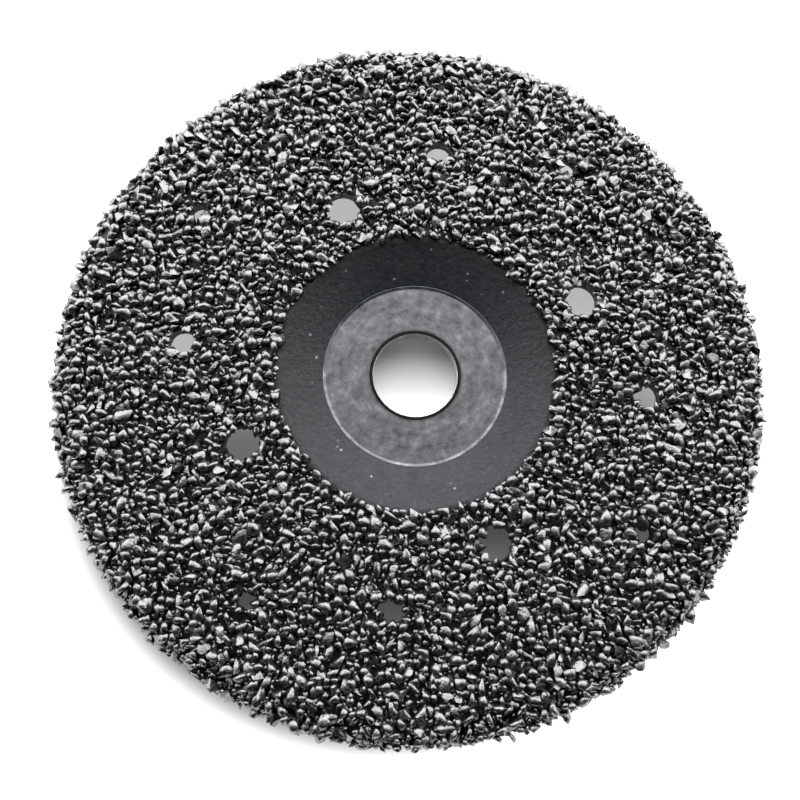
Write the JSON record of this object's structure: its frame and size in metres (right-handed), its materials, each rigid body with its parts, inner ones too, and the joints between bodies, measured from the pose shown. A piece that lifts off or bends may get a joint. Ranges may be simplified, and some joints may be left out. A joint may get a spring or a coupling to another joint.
{
  "type": "abrasive carving disc",
  "caption": "Depressed-centre carving disc for an angle grinder: coarse black grit on a flexible backing, with a steel hub ring, a plain bore and small vent holes.",
  "frame": {"origin": "on the bore axis, in the plane of the rear seat that bears on the grinder's spindle flange", "axes": "+Z along the bore axis, out of the abrasive face; +X and +Y in the plane of the disc, with one arm of vent holes starting 24 degrees from +X"},
  "size_m": [0.1832, 0.1832, 0.0121],
  "materials": {
    "bushing_steel": "satin",
    "hub_steel": "matte",
    "hub_moulding": "satin",
    "glass_mesh": "matte",
    "backing_laminate": "matte",
    "bond_resin": "satin",
    "abrasive_grain": "gloss"
  },
  "bodies": {
    "root": {"bore_bushing": "bushing_steel", "hub_ring": "hub_steel", "hub_cup": "hub_moulding", "rear_mesh": "glass_mesh", "backing_core": "backing_laminate", "front_mesh": "glass_mesh", "bond_coat": "bond_resin", "grains_mouth": "abrasive_grain", "grains_inner_face": "abrasive_grain", "grains_middle_face": "abrasive_grain", "grains_outer_face": "abrasive_grain", "grains_rolled_edge": "abrasive_grain", "grains_rim": "abrasive_grain"}
  },
  "joints": []
}
